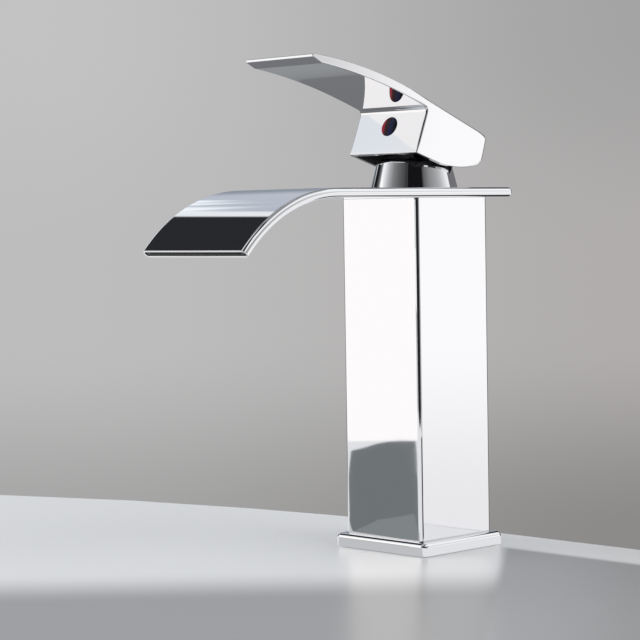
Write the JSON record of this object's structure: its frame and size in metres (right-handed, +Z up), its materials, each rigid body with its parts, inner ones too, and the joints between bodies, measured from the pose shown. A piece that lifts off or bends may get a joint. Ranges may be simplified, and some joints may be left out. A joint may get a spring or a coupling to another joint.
{
  "type": "waterfall basin faucet",
  "caption": "Tall single-lever basin faucet: square column, wide thin spout plate that bends down and pours a sheet of water, low dome and a hollow lever with a long arched paddle.",
  "frame": {"origin": "middle of the face that rests on the basin deck", "axes": "+Z up, the spout points along -Y, +X on the right of someone who stands behind the faucet"},
  "size_m": [0.0634, 0.1637, 0.2655],
  "materials": {
    "chrome": "mirror polish",
    "brass": "machined",
    "copper_tube": "drawn tube",
    "steel": "zinc plated",
    "rubber": "matt",
    "valve_plastic": "moulded",
    "ceramic": "lapped",
    "mouth_strip": "moulded",
    "index_red": "gloss",
    "index_blue": "gloss"
  },
  "bodies": {
    "faucet_body": {"base_flange": "chrome", "base_seal": "rubber", "body_column": "chrome", "base_block": "brass", "hot_tube": "copper_tube", "cold_tube": "copper_tube", "valve_chamber": "brass", "port_seals": "rubber", "cartridge_base": "valve_plastic", "fixed_disc": "ceramic", "cartridge_housing": "valve_plastic", "cartridge_nut": "brass", "spout": "chrome", "outlet_insert": "mouth_strip", "dome_cap": "chrome", "fixing_stud": "steel", "clamp_seal": "rubber", "clamp_washer": "steel", "fixing_nut": "steel"},
    "rotor": {"spindle": "valve_plastic", "pivot_pin": "steel"},
    "slider": {"moving_disc": "ceramic", "disc_carrier": "valve_plastic"},
    "lever": {"lever_stem": "steel", "lever_handle": "chrome", "set_screw": "steel", "index_hot": "index_red", "index_cold": "index_blue"}
  },
  "joints": [
    {"name": "temperature_turn", "type": "hinge", "parent": "faucet_body", "child": "rotor", "pos_m": [0, 0, 0.154], "axis": [0, 0, 1], "range_deg": [-45, 45]},
    {"name": "flow_lift", "type": "hinge", "parent": "rotor", "child": "lever", "pos_m": [0, 0, 0.154], "axis": [-1, 0, 0], "range_deg": [-13, 12]},
    {"name": "disc_slide", "type": "slide", "parent": "rotor", "child": "slider", "axis": [0, -1, 0], "range_m": [-0.00171, 0.00158]}
  ],
  "couplings": [
    {"joint": "disc_slide", "follows": "flow_lift", "m_per_rad": 0.0075}
  ]
}
